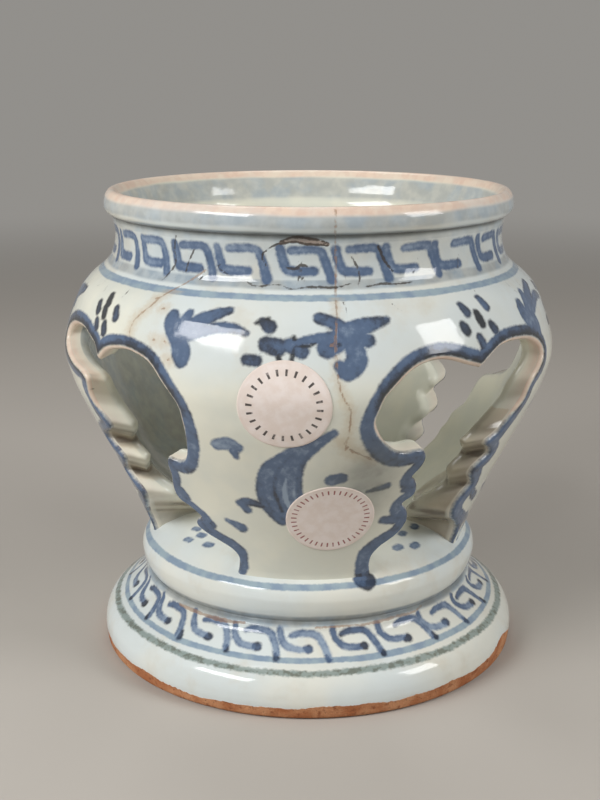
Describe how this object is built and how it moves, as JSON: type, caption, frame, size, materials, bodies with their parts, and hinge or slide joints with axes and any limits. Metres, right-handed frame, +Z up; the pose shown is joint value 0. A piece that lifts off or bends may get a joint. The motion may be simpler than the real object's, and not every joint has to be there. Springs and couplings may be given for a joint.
{
  "type": "vase stand",
  "caption": "Round pierced porcelain stand with a rolled lip, bulging shoulder on cut legs, waisted drum and spreading foot, to hold a vase upright.",
  "frame": {"origin": "on the turning axis, in the plane of the foot ring that the stand rests on", "axes": "+Z up along the turning axis, -Y towards the middle of the front leg, which carries the two labels"},
  "size_m": [0.1564, 0.157, 0.149],
  "materials": {
    "glazed_body": "clear glossy glaze over cobalt painting on porcelain",
    "bare_foot": "unglazed fired body, matt, burnt orange brown",
    "label_paper": "matt coated paper, blank but for a plain ring of ticks"
  },
  "bodies": {
    "root": {"foot_ring": "bare_foot", "base_plinth": "glazed_body", "waist_drum": "glazed_body", "leg_front": "glazed_body", "leg_right": "glazed_body", "leg_back": "glazed_body", "leg_left": "glazed_body", "shoulder_band": "glazed_body", "neck_collar": "glazed_body", "lip_ring": "glazed_body", "label_upper": "label_paper", "label_lower": "label_paper"}
  },
  "joints": []
}
